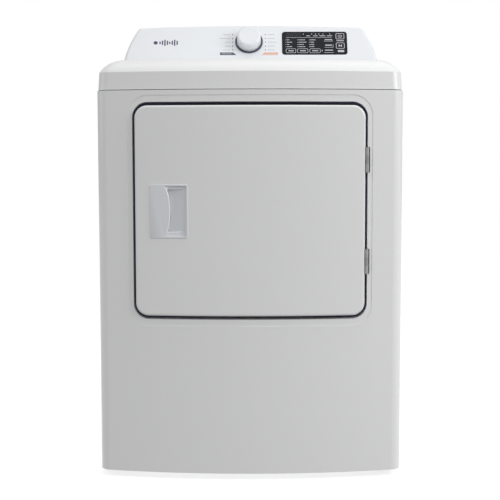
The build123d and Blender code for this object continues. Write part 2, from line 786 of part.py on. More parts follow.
def blower_housing():
    """Moulded scroll round the fan, with its outlet box leading across to the exhaust."""
    outer = blower_radius + 18.0
    z0 = exhaust_z - exhaust_radius - 1.0
    z1 = exhaust_z + exhaust_radius + 1.0
    x0 = exhaust_x - exhaust_radius - 4.0
    w = blower_wall
    form = rod_y(motor_x, motor_z, blower_front_y, blower_back_y, outer)
    form += block((x0, motor_x), (blower_front_y, blower_back_y), (z0, z1))
    hollow = rod_y(motor_x, motor_z, blower_front_y + w, blower_back_y - w, outer - w)
    hollow += block((x0 + w, motor_x), (blower_front_y + w, blower_back_y - w), (z0 + w, z1 - w))
    form -= hollow
    form -= rod_y(motor_x, motor_z, blower_front_y - 1, blower_front_y + w + 1, blower_radius - 20)
    form -= rod_y(motor_x, motor_z, blower_back_y - w - 1, blower_back_y + 1, 20.0)
    return form - rod_y(exhaust_x, exhaust_z, blower_back_y - w - 1, blower_back_y + 1, exhaust_radius - 3)


def exhaust_duct():
    """Round pipe from the blower out through the rear panel, with a collar for a hose."""
    bore = exhaust_radius - 2 * exhaust_wall
    pipe = rod_y(exhaust_x, exhaust_z, blower_back_y, rear_face_y + 1, bore + exhaust_wall)
    pipe += rod_y(exhaust_x, exhaust_z, rear_face_y, overall_depth / 2, exhaust_radius)
    pipe += rod_y(exhaust_x, exhaust_z, blower_back_y, blower_back_y + 2, exhaust_radius + 1.8)
    return pipe - rod_y(exhaust_x, exhaust_z, blower_back_y - 1, overall_depth / 2 + 1, bore)


def belt_line(gap):
    """Outline round the drum, the motor's belt end and the idler."""
    circles = [Pos(0, drum_z) * Circle(drum_radius + gap),
               Pos(motor_x, motor_z) * Circle(pulley_radius + gap),
               Pos(idler_x, idler_z) * Circle(idler_radius + gap)]
    return make_hull([edge for circle in circles for edge in circle.edges()])


def drive_belt():
    """Flat ribbed belt, drum to motor, kept tight by the idler."""
    y0, y1 = belt_y - belt_width / 2, belt_y + belt_width / 2
    inner = running_gap + 0.1
    return slab(belt_line(inner + belt_thickness), y0, y1) - slab(belt_line(inner), y0 - 1, y1 + 1)


arm_front_y = belt_y + 17.0
arm_back_y = arm_front_y + 3.5


def idler_arm():
    """Sprung arm that carries the idler."""
    ends = [Pos(pivot_x, pivot_z) * Circle(11), Pos(idler_x, idler_z) * Circle(9)]
    arm = slab(make_hull([edge for end in ends for edge in end.edges()]), arm_front_y, arm_back_y)
    arm += rod_y(idler_x, idler_z, belt_y - 13, arm_front_y, 4.0)
    arm += rod_y(idler_x, idler_z, belt_y - 14.5, belt_y - 12.3, 7.0)
    return arm - rod_y(pivot_x, pivot_z, arm_front_y - 1, arm_back_y + 1, foot_stud_radius + pin_clearance)


def idler_pulley():
    """Flanged plastic wheel inside the belt loop."""
    y0, y1 = belt_y - 12.0, arm_front_y - running_gap
    wheel = rod_y(idler_x, idler_z, y0, y1, idler_radius)
    for a, b in ((y0, belt_y - 7), (belt_y + 7, y1)):
        wheel += rod_y(idler_x, idler_z, a, b, idler_radius + 3)
    wheel -= ring_y(idler_x, idler_z, y0 - 1, y0 + 8, idler_radius - 5, 9.0)
    return wheel - rod_y(idler_x, idler_z, y0 - 1, y1 + 1, 4.0 + pin_clearance)


# ---------------------------------------------------------------- air path and heat
def lint_duct():
    """Flat moulded duct from the filter slot down to the blower."""
    half = filter_width / 2 + 14.0
    y0, y1 = bulkhead_back_y, duct_back_y
    top = filter_top - 1.0
    w = blower_wall
    duct = block((-half, half), (y0, y1), (duct_bottom, top))
    duct -= block((-half + w, half - w), (y0 + w, y1 - w), (duct_bottom + w, top - w))
    duct -= filter_slot(1.0)
    return duct - rod_y(motor_x, motor_z, y1 - w - 1, y1 + 1, blower_radius - 20)


def lint_filter_frame():
    """Pull-out filter frame with a finger bar along its top edge."""
    half = filter_width / 2
    y0, y1 = filter_y - filter_thickness / 2, filter_y + filter_thickness / 2
    frame_part = block((-half, half), (y0, y1), (filter_top - filter_length, filter_top))
    low, high = filter_top - filter_length + filter_rim, filter_top - 22.0
    bays = 3
    pitch = (filter_width - filter_rim) / bays
    for i in range(bays):
        x0 = -half + filter_rim + i * pitch
        frame_part -= block((x0, x0 + pitch - filter_rim), (y0 - 1, y1 + 1), (low, high))
    groove = screen_thickness / 2
    frame_part -= block((-half + 4, half - 4), (filter_y - groove, filter_y + groove), (low - 5, high + 5))
    grip = block((-34, 34), (y0 - 1, filter_y - 1.5), (filter_top - 14, filter_top - 4))
    return frame_part - grip


def lint_screen():
    """Fine mesh held in the filter frame."""
    half = filter_width / 2 - 4
    groove = screen_thickness / 2
    return block((-half, half), (filter_y - groove, filter_y + groove),
                 (filter_top - filter_length + filter_rim - 5, filter_top - 17.0))


def heater_duct():
    """Folded steel box behind the rear bulkhead that the warm air rises in."""
    y0, y1 = rear_bulkhead_y + sheet + 0.1, rear_sheet_y - fit_gap
    duct = block(heater_x, (y0, y1), heater_z)
    duct -= block((heater_x[0] + 1, heater_x[1] - 1), (y0 + 1, y1 - 1), (heater_z[0] - 1, heater_z[1] - 1))
    mouth_z = (heater_z[1] - 96, heater_z[1] - 6)
    return duct - block((heater_x[0] + 6, heater_x[1] - 6), (y0 - 1, y0 + 2), mouth_z)


def heater_element():
    """Wound heating bars strung between two insulating boards."""
    y = (rear_bulkhead_y + rear_sheet_y) / 2
    x0, x1 = heater_x[0] + 8, heater_x[1] - 8
    low = heater_z[0] + 30
    parts = [block((x, x + 2), (y - 12, y + 12), (low, low + 170)) for x in (x0, x1 - 2)]
    for i in range(7):
        z = low + 12 + 24 * i
        parts.append(Pos((x0 + x1) / 2, y, z) * Rot(0, 90, 0) * Cylinder(4.0, x1 - x0 - 3))
    return Part() + parts


def thermostats():
    """Round cut-outs clipped to the side of the heater box."""
    y = (rear_bulkhead_y + rear_sheet_y) / 2
    x = heater_x[0]
    discs = [Pos(x - 5, y, z) * Rot(0, 90, 0) * Cylinder(15.0, 10.0)
             for z in (heater_z[0] + 90, heater_z[1] - 70)]
    return Part() + discs


# ---------------------------------------------------------------- electrics at the rear
def terminal_block():
    """Three-way terminal block behind the rear panel."""
    y1 = rear_sheet_y
    body = block((terminal_x - 34, terminal_x + 34), (y1 - 24, y1 - 4), (terminal_z - 16, terminal_z + 16))
    body += block((terminal_x - 41, terminal_x + 41), (y1 - 4, y1 - 0.1), (terminal_z - 25, terminal_z + 25))
    body -= block((terminal_x - 33, terminal_x + 33), (y1 - 4, y1 + 1), (terminal_z - 15, terminal_z + 15))
    for i in (-1, 0, 1):
        body += rod_y(terminal_x + 20 * i, terminal_z, y1 - 5, y1 + 3, 5.0)
    return body


cover_y = (rear_face_y, rear_face_y + 15.0)
cover_half = 58.0


def terminal_cover():
    """Folded cover over the terminal hole."""
    z0, z1 = terminal_z - 30, terminal_z + 34
    box = block((terminal_x - cover_half + 14, terminal_x + cover_half - 14), cover_y, (z0, z1))
    box = fillet(box.edges().group_by(Axis.Y)[-1], 3.0)
    box -= block((terminal_x - cover_half + 15.2, terminal_x + cover_half - 15.2),
                 (cover_y[0] - 1, cover_y[1] - 1.2), (z0 - 1, z1 - 1.2))
    for side in (-1, 1):
        x0, x1 = sorted((terminal_x + side * cover_half, terminal_x + side * (cover_half - 14)))
        box += block((x0, x1), (cover_y[0], cover_y[0] + 1.2), (z0, z1))
    return drill_y(box, terminal_screw_places(), cover_y[0] - 1, cover_y[1], screw_hole)


def cord_clamp():
    """Bracket under the terminal cover with the hole that the mains lead is clamped in."""
    z = terminal_z - 46.0
    y0, y1 = rear_face_y, rear_face_y + 29.0
    plate = block((terminal_x - 20, terminal_x + 20), (y0, y1), (z, z + clamp_plate))
    plate += block((terminal_x - 20, terminal_x + 20), (y0, y0 + 2), (z - 24, z))
    return plate - Pos(terminal_x, y0 + 15, z) * Cylinder(cord_bore_radius, 20)


def hex_screw(x, z, y):
    """Hexagon-headed sheet screw, driven in from the rear."""
    hexagon = Pos(x, z) * RegularPolygon(screw_head, 6)
    head = slab(hexagon, y, y + screw_head_height)
    return head + rod_y(x, z, y - 2.4, y, screw_radius)


def cabinet_screws():
    places = [(x, z, rear_face_y) for x, z in rear_screw_places() + console_screw_places()]
    places += [(x, z, cover_y[0] + 1.2) for x, z in terminal_screw_places()]
    return Part() + [hex_screw(*place) for place in places]


# ---------------------------------------------------------------- door
def knuckle_clear(grow):
    """Room round each hinge barrel."""
    return [Pos(hinge_x, hinge_y, z) * Cylinder(hinge_barrel_radius + grow, hinge_height + 2 * grow)
            for z in hinge_z]


handle_x = -(door_half - handle_inset - handle_width / 2)


def handle_outline(inset=0.0):
    return rounded(handle_width / 2 - inset, door_mid - handle_height / 2 + inset,
                   door_mid + handle_height / 2 - inset, handle_radius - inset * 0.8, handle_x)


def door_outer_panel():
    """Bowed steel door skin, with turned-back edges and the hole for the handle."""
    far = panel_face_y - 40
    wide = door_half + 10
    low, high = door_bottom - 10, door_top + 10
    skin = slab(door_outline(), far, door_back_y) & bowed(-door_proud, 90, wide, low, high)
    rim = [e for e in skin.edges() if e.center().Y < bow_y(door_half, -door_proud) + 1.0]
    skin = fillet(rim, door_edge_round)
    hollow = slab(door_outline(-door_wall), far, door_back_y + 1)
    hollow &= bowed(door_wall - door_proud, 90, wide, low, high)
    rim = [e for e in hollow.edges() if e.center().Y < bow_y(door_half, -door_proud) + 2.0]
    hollow = fillet(rim, door_edge_round - door_wall)
    skin -= hollow
    skin -= slab(handle_outline(2.0 - fit_gap), far, door_back_y - 8)
    return skin - knuckle_clear(0.8)


def door_liner():
    """Moulded inner face of the door, dished in the middle."""
    face = slab(door_outline(-door_wall - fit_gap), door_back_y - liner_thickness, door_back_y)
    dish = door_half - handle_inset - handle_width - liner_dish_gap
    dish_y = door_back_y - liner_dish_depth
    face += rod_y(0, door_mid, dish_y - liner_thickness, door_back_y, dish + liner_thickness)
    face -= rod_y(0, door_mid, dish_y, door_back_y + 1, dish)
    for x, z in door_screw_places():
        face -= rod_y(x, z, door_back_y - 10, door_back_y + 1, screw_hole)
    return face - knuckle_clear(0.8)


def door_screw_places():
    x = door_half - 10.0
    rows = [door_bottom + 40.0, door_mid - 40.0, door_top - 40.0]
    return [(s * x, z) for z in rows for s in (-1, 1)]


def door_screws():
    """Pan-headed screws that hold the liner in the door."""
    return Part() + [rod_y(x, z, door_back_y, door_back_y + 1.8, 4.0)
                     + rod_y(x, z, door_back_y - 8, door_back_y, screw_radius)
                     for x, z in door_screw_places()]


def door_gasket():
    """Rubber seal round the door's inner face."""
    outer = -surround_land + gasket_width + 0.5
    ring = slab(door_outline(outer), door_back_y, surround_y - running_gap)
    return ring - slab(door_outline(outer - gasket_width), door_back_y - 1, surround_y + 1)


def door_handle():
    """Moulded insert: a flange, a grip plate on the left and the finger pocket behind it."""
    wide = door_half + 10
    low, high = door_mid - handle_height, door_mid + handle_height
    far, deep = panel_face_y - 40, door_back_y
    front = -door_proud - handle_flange
    body = slab(handle_outline(), far, deep) & bowed(front, -door_proud, wide, low, high)
    inside = handle_depth - door_proud
    body += slab(handle_outline(2.0), far, deep) & bowed(-door_proud, inside, wide, low, high)
    half_tall = handle_height / 2
    left, right = handle_x - handle_width / 2, handle_x + handle_width / 2
    low_wall, high_wall = door_mid - half_tall + 10, door_mid + half_tall - 10
    pocket = rounded((handle_width - 20) / 2, low_wall, high_wall, 8, handle_x)
    body -= slab(pocket, far, deep) & bowed(front + 4, handle_depth - door_proud - 2.5, wide, low, high)
    edge = left + grip_width
    top, bottom = door_mid + half_tall - 2.5, door_mid - half_tall + 2.5
    arc = ThreePointArc((edge, bottom), (edge + grip_bulge, door_mid), (edge, top))
    far_side = right - 2.5
    others = Polyline((edge, top), (far_side, top), (far_side, bottom), (edge, bottom))
    mouth = make_face([arc, *others.edges()])
    cut = slab(mouth, far, deep) & bowed(front - 5, front + 4.5, wide, low, high)
    throat = slab(pocket, far, deep) & slab(mouth, far, deep) & bowed(front, front + 6, wide, low, high)
    shallow = cut & bowed(front - 5, front + 1.6, wide, low, high)
    return body - shallow - throat


def door_strike():
    """Steel tongue that the catch holds."""
    plate = block((strike_x - 3, strike_x + 3), (door_back_y, door_back_y + 15), (door_mid - 7, door_mid + 7))
    slot_y = (door_back_y + 6, door_back_y + 11)
    return plate - block((strike_x - 4, strike_x + 4), slot_y, (door_mid - 4, door_mid + 4))


def door_catch():
    """Spring catch in its plastic case, behind the surround."""
    y0, y1 = bulkhead_back_y, bulkhead_back_y + 20
    case = block((strike_x - 11, strike_x + 11), (y0, y1), (door_mid - 19, door_mid + 19))
    return case - strike_slot(y0 - 1, y1 - 3, 4.0)


def door_switch():
    """Door switch case, behind the surround."""
    y0, y1 = bulkhead_back_y, bulkhead_back_y + 18
    case = block((strike_x - 8, strike_x + 8), (y0, y1), (switch_z - 16, switch_z + 16))
    return case - rod_y(strike_x, switch_z, y0 - 1, y1 - 3, 3.0 + pin_clearance)


def switch_plunger():
    """Plunger that the closed door holds in."""
    y0 = door_back_y + running_gap
    pin = rod_y(strike_x, switch_z, y0, bulkhead_back_y + 9, 3.0)
    return fillet(pin.edges().group_by(Axis.Y)[0], 1.2)


def hinge_part(fixed):
    """Leaves and barrel sections of both hinges: the fixed leaf has the outer two sections."""
    parts = []
    third = hinge_height / 3
    for z in hinge_z:
        if fixed:
            x0, x1 = opening_half - hinge_leaf, opening_half
            sections = [(z - 1.5 * third, z - 0.5 * third), (z + 0.5 * third, z + 1.5 * third)]
        else:
            x0, x1 = door_half, door_half + hinge_leaf
            sections = [(z - 0.5 * third + running_gap, z + 0.5 * third - running_gap)]
        bore = pin_clearance if fixed else 0.0
        leaf_bottom, leaf_top = sections[0][0], sections[-1][1]
        leaf_y = (hinge_y + hinge_barrel_radius + 0.6, surround_y - 2.5)
        leaf = block((x0, x1), leaf_y, (leaf_bottom, leaf_top))
        for low, high in sections:
            leaf += block((x0, x1), (hinge_y, hinge_y + hinge_barrel_radius + 1.0), (low, high))
            leaf += Pos(hinge_x, hinge_y, (low + high) / 2) * Cylinder(hinge_barrel_radius, high - low)
        leaf -= Pos(hinge_x, hinge_y, z) * Cylinder(hinge_pin_radius + bore, hinge_height + 2)
        parts.append(leaf)
    return Part() + parts


def hinge_pins():
    """Pins through both hinges, tight in the door's leaves."""
    pins = []
    for z in hinge_z:
        pin = Pos(hinge_x, hinge_y, z) * Cylinder(hinge_pin_radius, hinge_height + 3)
        for end in (-1, 1):
            head_z = z + end * (hinge_height / 2 + 1.0)
            pin += Pos(hinge_x, hinge_y, head_z) * Cylinder(hinge_pin_radius + 1, 1.2)
        pins.append(pin)
    return Part() + pins


# ---------------------------------------------------------------- every piece by name
pieces = {
    "base_pan": base_pan(),
    "left_side_panel": side_panel(-1),
    "right_side_panel": side_panel(1),
    "front_panel": front_panel(),
    "rear_panel": rear_panel(),
    "top_cover": top_cover(),
    "top_brace": top_brace(),
    "console_fascia": console_fascia(),
    "console_back_panel": console_back_panel(),
    "display_panel": display_panel(),
    "control_board": control_board(),
    "selector_ring": selector_ring(),
    "selector_knob": selector_knob(),
    "knob_shaft": knob_shaft(),
    "door_surround": door_surround(),
    "front_bulkhead": front_bulkhead(),
    "rear_bulkhead": rear_bulkhead(),
    "drum_lamp": drum_lamp(),
    "drum_felts": drum_felts(),
    "moisture_bars": moisture_bars(),
    "drum_shell": drum_shell(),
    "drum_baffles": drum_baffles(),
    "left_roller": drum_roller(-1),
    "right_roller": drum_roller(1),
    "roller_axles": roller_axles(),
    "motor_stator": motor_stator(),
    "motor_shaft": motor_shaft(),
    "motor_mount": motor_mount(),
    "blower_wheel": blower_wheel(),
    "blower_housing": blower_housing(),
    "exhaust_duct": exhaust_duct(),
    "drive_belt": drive_belt(),
    "idler_arm": idler_arm(),
    "idler_pulley": idler_pulley(),
    "lint_duct": lint_duct(),
    "lint_filter_frame": lint_filter_frame(),
    "lint_screen": lint_screen(),
    "heater_duct": heater_duct(),
    "heater_element": heater_element(),
    "thermostats": thermostats(),
    "terminal_block": terminal_block(),
    "terminal_cover": terminal_cover(),
    "cord_clamp": cord_clamp(),
    "cabinet_screws": cabinet_screws(),
    "door_outer_panel": door_outer_panel(),
    "door_liner": door_liner(),
    "door_gasket": door_gasket(),
    "door_handle": door_handle(),
    "door_strike": door_strike(),
    "door_screws": door_screws(),
    "door_hinge_leaves": hinge_part(False),
    "hinge_pins": hinge_pins(),
    "cabinet_hinge_leaves": hinge_part(True),
    "door_catch": door_catch(),
    "door_switch": door_switch(),
    "switch_plunger": switch_plunger(),
}
for name, place in foot_places().items():
    pieces[name] = foot(place)

os.makedirs("parts", exist_ok=True)
for name, piece in pieces.items():
    export_step(piece, f"parts/{name}.step")
print(len(pieces), "pieces written")
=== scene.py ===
import bmesh
import bpy
import math
from mathutils import Matrix, Vector


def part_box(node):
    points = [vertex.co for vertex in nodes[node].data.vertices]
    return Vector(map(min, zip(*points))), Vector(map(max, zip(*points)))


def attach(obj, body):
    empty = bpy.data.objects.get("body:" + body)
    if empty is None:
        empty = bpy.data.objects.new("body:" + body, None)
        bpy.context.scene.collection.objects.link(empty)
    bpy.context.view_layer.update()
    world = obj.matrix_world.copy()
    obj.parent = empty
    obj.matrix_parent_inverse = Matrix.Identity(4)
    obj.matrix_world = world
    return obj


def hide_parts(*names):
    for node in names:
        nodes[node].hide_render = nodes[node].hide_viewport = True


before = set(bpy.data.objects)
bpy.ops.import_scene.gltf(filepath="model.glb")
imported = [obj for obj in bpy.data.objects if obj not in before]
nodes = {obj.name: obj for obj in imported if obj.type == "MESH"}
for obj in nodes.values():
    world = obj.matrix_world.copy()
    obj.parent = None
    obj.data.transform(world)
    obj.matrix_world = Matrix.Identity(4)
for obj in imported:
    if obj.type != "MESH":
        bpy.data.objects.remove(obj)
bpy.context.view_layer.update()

# ---------------------------------------------------------------- camera
# A long lens straight on to the front, a little above the middle of the door, tipped down so that the
# flat top and the console's face both show.
camera_data = bpy.data.cameras.new("camera")
camera_data.sensor_width = 36.0
camera_data.lens = 78.53
camera_data.clip_end = 60.0
camera = bpy.data.objects.new("camera", camera_data)
camera_place = (0.008, -2.7555, 0.7205)
swing, dip, roll = math.radians(0.2), math.radians(4.71), math.radians(-0.10)
camera.matrix_world = (Matrix.Translation(camera_place) @ Matrix.Rotation(swing, 4, "Z")
                       @ Matrix.Rotation(math.radians(90.0) - dip, 4, "X") @ Matrix.Rotation(roll, 4, "Z"))
bpy.context.collection.objects.link(camera)
bpy.context.scene.camera = camera
bpy.context.scene.view_settings.view_transform = "Standard"


# ---------------------------------------------------------------- floor and light
# A plain white studio floor, a big soft light overhead, a key at the front right and a faint one that grazes
# the left side, with a white surround that is brighter above than below.
class Reading:
    """A number that varies over a surface. Arithmetic on it adds Math nodes."""

    def __init__(self, finish, socket):
        self.finish, self.socket = finish, socket

    def maths(self, operation, *values):
        return self.finish.node("Math", {"operation": operation}, list(values))

    def __add__(self, other):
        return self.maths("ADD", self, other)

    def __mul__(self, other):
        return self.maths("MULTIPLY", self, other)

    __radd__, __rmul__ = __add__, __mul__


class Finish:
    """A material made of nodes. Constants sit on the Principled sockets; readings vary the rest."""

    def __init__(self, name, colour, roughness, **constants):
        self.material = bpy.data.materials.new(name)
        self.material.use_nodes = True
        self.tree = self.material.node_tree
        self.shader = self.tree.nodes["Principled BSDF"]
        self.set("Base Color", (*colour, 1.0))
        self.set("Roughness", roughness)
        for socket, value in constants.items():
            self.set(socket.replace("_", " "), value)
        self.spot = self.node("TexCoord", out="Object")

    def node(self, kind, settings=None, inputs=None, out=0):
        """Adds one node: its type, its settings, then the values or readings of its inputs."""
        made = self.tree.nodes.new("ShaderNode" + kind)
        for key, value in (settings or {}).items():
            setattr(made, key, value)
        pairs = inputs.items() if isinstance(inputs, dict) else enumerate(inputs or [])
        for key, value in pairs:
            if isinstance(value, Reading):
                self.tree.links.new(value.socket, made.inputs[key])
            else:
                made.inputs[key].default_value = value
        return Reading(self, made.outputs[out])

    def set(self, socket, value):
        if isinstance(value, Reading):
            self.tree.links.new(value.socket, self.shader.inputs[socket])
        else:
            self.shader.inputs[socket].default_value = value

    def at(self, scale):
        """Object coordinates in metres, scaled along each axis."""
        return self.node("Mapping", {}, {"Vector": self.spot, "Scale": scale})

    def along(self, axis):
        """How far along one axis of the object a point lies, in metres."""
        return self.node("SeparateXYZ", {}, [self.spot], out=axis)

    def wave(self, reading):
        return self.node("Math", {"operation": "SINE"}, [reading])

    def noise(self, scale, detail=2.0, where=None, rough=0.5):
        return self.node("TexNoise", {}, {"Vector": where or self.spot, "Scale": scale, "Detail": detail,
                                          "Roughness": rough}, out="Fac")

    def span(self, reading, low, high, start=0.0, end=1.0):
        """Stretches readings from start..end to low..high, clamped."""
        inputs = {"Value": reading, "From Min": start, "From Max": end, "To Min": low, "To Max": high}
        return self.node("MapRange", {"clamp": True}, inputs)

    def tint(self, factor, first, second):
        """A colour between two colours, chosen by a reading."""
        mixed = self.tree.nodes.new("ShaderNodeMix")
        mixed.data_type = "RGBA"
        inputs = {socket.name: socket for socket in mixed.inputs if socket.enabled}
        self.tree.links.new(factor.socket, inputs["Factor"])
        inputs["A"].default_value, inputs["B"].default_value = (*first, 1.0), (*second, 1.0)
        return Reading(self, next(socket for socket in mixed.outputs if socket.enabled))

    def relief(self, height, depth, strength):
        """Feeds a height reading to Normal, depth in metres for a reading of one."""
        self.set("Normal", self.node("Bump", {}, {"Height": height, "Distance": depth, "Strength": strength}))

    def wear(self, *names):
        """Gives this finish to CAD pieces."""
        for name in names:
            for slot in nodes[name].material_slots:
                slot.material = self.material


studio = Finish("studio_floor", (0.5, 0.5, 0.5), 0.7, Specular_IOR_Level=0.1, Emission_Strength=1.0)
studio.set("Roughness", studio.span(studio.noise(3.0), 0.65, 0.75))
studio.set("Emission Color", (0.69, 0.69, 0.69, 1.0))
bpy.ops.object.select_all(action="DESELECT")
bpy.ops.mesh.primitive_circle_add(vertices=96, radius=15.0, fill_type="NGON")
floor = bpy.context.object
floor.name = "floor"
floor.data.materials.append(studio.material)
floor.visible_diffuse = False
white = Finish("studio_white", (0.0, 0.0, 0.0), 1.0, Specular_IOR_Level=0.0, Emission_Strength=1.0)
white.set("Emission Color", (1.0, 1.0, 1.0, 1.0))
bpy.ops.mesh.primitive_uv_sphere_add(segments=64, ring_count=32, radius=15.5)
backdrop = bpy.context.object
backdrop.name = "backdrop"
backdrop.data.materials.append(white.material)
for ray in ("diffuse", "glossy", "transmission", "shadow"):
    setattr(backdrop, "visible_" + ray, False)


def soft_light(name, place, aim, size, power):
    """A square soft light at a place, aimed at a point."""
    data = bpy.data.lights.new(name, "AREA")
    data.shape, data.size, data.energy = "SQUARE", size, power
    lamp = bpy.data.objects.new(name, data)
    lamp.location = place
    lamp.rotation_euler = (Vector(aim) - Vector(place)).to_track_quat("-Z", "Y").to_euler()
    bpy.context.collection.objects.link(lamp)


soft_light("overhead", (0.2, -0.5, 3.4), (0, 0, 0.6), 3.0, 24)
soft_light("key", (3.25, -1.75, 2.2), (0, -0.2, 0.7), 1.8, 69)
soft_light("left_rim", (-3.2, -0.7, 1.5), (-0.3, -0.2, 0.6), 1.5, 9)
world = bpy.data.worlds.new("surround")
world.use_nodes = True
sky = world.node_tree
heading = sky.nodes.new("ShaderNodeTexCoord")
split = sky.nodes.new("ShaderNodeSeparateXYZ")
grade = sky.nodes.new("ShaderNodeMapRange")
sky.links.new(heading.outputs["Generated"], split.inputs[0])
sky.links.new(split.outputs["Z"], grade.inputs["Value"])
for socket, value in (("From Min", -0.2), ("From Max", 0.3), ("To Min", 0.28), ("To Max", 0.60)):
    grade.inputs[socket].default_value = value
sky.links.new(grade.outputs[0], sky.nodes["Background"].inputs["Strength"])
sky.nodes["Background"].inputs["Color"].default_value = (1, 1, 1, 1)
bpy.context.scene.world = world

# ---------------------------------------------------------------- cabinet
# Side panels, bowed front panel, top cover, front bulkhead and door skin are pressed from cold-rolled sheet,
# hooked and screwed together, and finished in a white enamel baked on, with a faint orange peel.
enamel = Finish("white_enamel", (0.80, 0.805, 0.81), 0.3, Coat_Weight=0.2, Coat_Roughness=0.15)
drift = enamel.noise(1.6, 2.0)
enamel.set("Base Color", enamel.tint(drift, (0.84, 0.842, 0.846), (0.865, 0.867, 0.872)))
enamel.set("Roughness", enamel.span(enamel.noise(6.0, 3.0), 0.27, 0.35))
enamel.relief(enamel.noise(420.0, 2.0), 0.00003, 0.35)
enamel.wear("left_side_panel", "right_side_panel", "front_panel", "top_cover", "front_bulkhead",
            "door_outer_panel")

# ---------------------------------------------------------------- base, back and brackets
# The base pan, rear panel, braces, ducts and brackets are galvanised sheet: a dull zinc grey with the flat
# crystals of hot dipping, each cell a little lighter or darker and duller or brighter than the next.
zinc = Finish("galvanised", (0.60, 0.61, 0.62), 0.38, Metallic=1.0)
crystal = zinc.node("TexVoronoi", {"feature": "F1"}, {"Vector": zinc.spot, "Scale": 95.0}, out="Color")
cell = zinc.node("SeparateColor", {}, [crystal])
zinc.set("Base Color", zinc.tint(zinc.span(cell, 0.0, 1.0) * 0.6 + zinc.noise(9.0, 3.0) * 0.4,
                                 (0.50, 0.51, 0.52), (0.68, 0.69, 0.70)))
zinc.set("Roughness", 0.30 + cell * 0.16)
zinc.relief(cell, 0.00002, 0.4)
zinc.wear("base_pan", "rear_panel", "top_brace", "console_back_panel", "rear_bulkhead", "motor_mount",
          "idler_arm", "heater_duct", "terminal_cover", "cord_clamp")

# ---------------------------------------------------------------- levelling feet
# Four moulded rubber pads on threaded studs, screwed into the base pan from below. The pads are matt, with a
# fine skin and dust towards the floor.
pad = Finish("foot_rubber", (0.10, 0.10, 0.11), 0.75)
dust = pad.span(pad.along("Z"), 1.0, 0.0, 0.0, 0.012) * pad.noise(260.0, 4.0)
pad.set("Base Color", pad.tint(dust, (0.07, 0.07, 0.075), (0.26, 0.25, 0.24)))
pad.set("Roughness", 0.68 + dust * 0.2)
pad.relief(pad.noise(1400.0, 3.0), 0.00005, 0.5)
pad.wear("front_left_foot", "front_right_foot", "rear_left_foot", "rear_right_foot")

# ---------------------------------------------------------------- fixings and bare steel
# Screws, shafts, strike and the drum are zinc-plated or bright-rolled steel. The drum's sheet is rolled round
# its axis, so its fine lines run across the depth.
steel = Finish("bright_steel", (0.70, 0.70, 0.71), 0.28, Metallic=1.0)
lines = steel.noise(60.0, 4.0, steel.at((1.0, 28.0, 1.0)))
steel.set("Base Color", steel.tint(lines, (0.62, 0.62, 0.63), (0.76, 0.76, 0.77)))
steel.set("Roughness", steel.span(lines, 0.24, 0.38, 0.3, 0.7))
steel.relief(lines, 0.00001, 0.5)
steel.wear("knob_shaft", "moisture_bars", "drum_shell", "roller_axles", "motor_shaft", "thermostats",
           "cabinet_screws", "door_strike", "door_screws")

# ---------------------------------------------------------------- hinges
# Two plated steel hinges with a pin each, scuffed by use; the cabinet's leaves are a little paler.
hinge_steel = Finish("hinge_steel", (0.50, 0.49, 0.48), 0.42, Metallic=0.85)
scuffed = hinge_steel.noise(350.0, 4.0)
hinge_steel.set("Base Color", hinge_steel.tint(scuffed, (0.20, 0.20, 0.20), (0.36, 0.357, 0.353)))
hinge_steel.set("Roughness", hinge_steel.span(scuffed, 0.32, 0.52, 0.3, 0.7))
hinge_steel.wear("door_hinge_leaves", "hinge_pins")

plated = Finish("hinge_plating", (0.60, 0.60, 0.60), 0.35, Metallic=0.4)
smudge = plated.noise(220.0, 4.0)
plated.set("Base Color", plated.tint(smudge, (0.30, 0.30, 0.30), (0.44, 0.44, 0.437)))
plated.set("Roughness", plated.span(smudge, 0.28, 0.44, 0.3, 0.7))
plated.wear("cabinet_hinge_leaves")

# ---------------------------------------------------------------- drive
# The motor case is dip-painted dark grey, the belt is ribbed black rubber, the wheels that touch it are grey
# nylon and the drum's rollers have soft tyres.
paint = Finish("motor_paint", (0.16, 0.17, 0.18), 0.45)
scuffs = paint.span(paint.noise(55.0, 5.0), 0.0, 1.0, 0.55, 0.75)
paint.set("Base Color", paint.tint(scuffs, (0.13, 0.14, 0.15), (0.24, 0.25, 0.26)))
paint.set("Roughness", 0.40 + scuffs * 0.2)
paint.relief(paint.noise(600.0, 3.0), 0.00006, 0.5)
paint.wear("motor_stator")

belt = Finish("belt_rubber", (0.03, 0.03, 0.03), 0.6)
RIB_PITCH = 0.0022
ribs = belt.wave(belt.along("Y") * (2.0 * math.pi / RIB_PITCH))
belt.set("Base Color", belt.tint(belt.noise(300.0, 3.0), (0.022, 0.022, 0.022), (0.045, 0.045, 0.047)))
belt.relief(ribs, 0.0003, 0.8)
belt.wear("drive_belt")

nylon = Finish("grey_plastic", (0.55, 0.56, 0.58), 0.5)
nylon.set("Base Color", nylon.tint(nylon.noise(20.0, 3.0), (0.50, 0.51, 0.53), (0.58, 0.59, 0.61)))
nylon.set("Roughness", nylon.span(nylon.noise(90.0, 3.0), 0.44, 0.58))
nylon.relief(nylon.noise(1500.0, 2.0), 0.00004, 0.5)
nylon.wear("blower_wheel", "blower_housing", "idler_pulley", "lint_duct", "door_catch", "door_switch",
           "switch_plunger")

rubber = Finish("seal_rubber", (0.04, 0.045, 0.06), 0.6)
rubber.set("Base Color", rubber.tint(rubber.noise(120.0, 3.0), (0.034, 0.038, 0.05), (0.055, 0.06, 0.075)))
rubber.relief(rubber.noise(900.0, 3.0), 0.00006, 0.6)
rubber.wear("door_gasket", "left_roller", "right_roller")

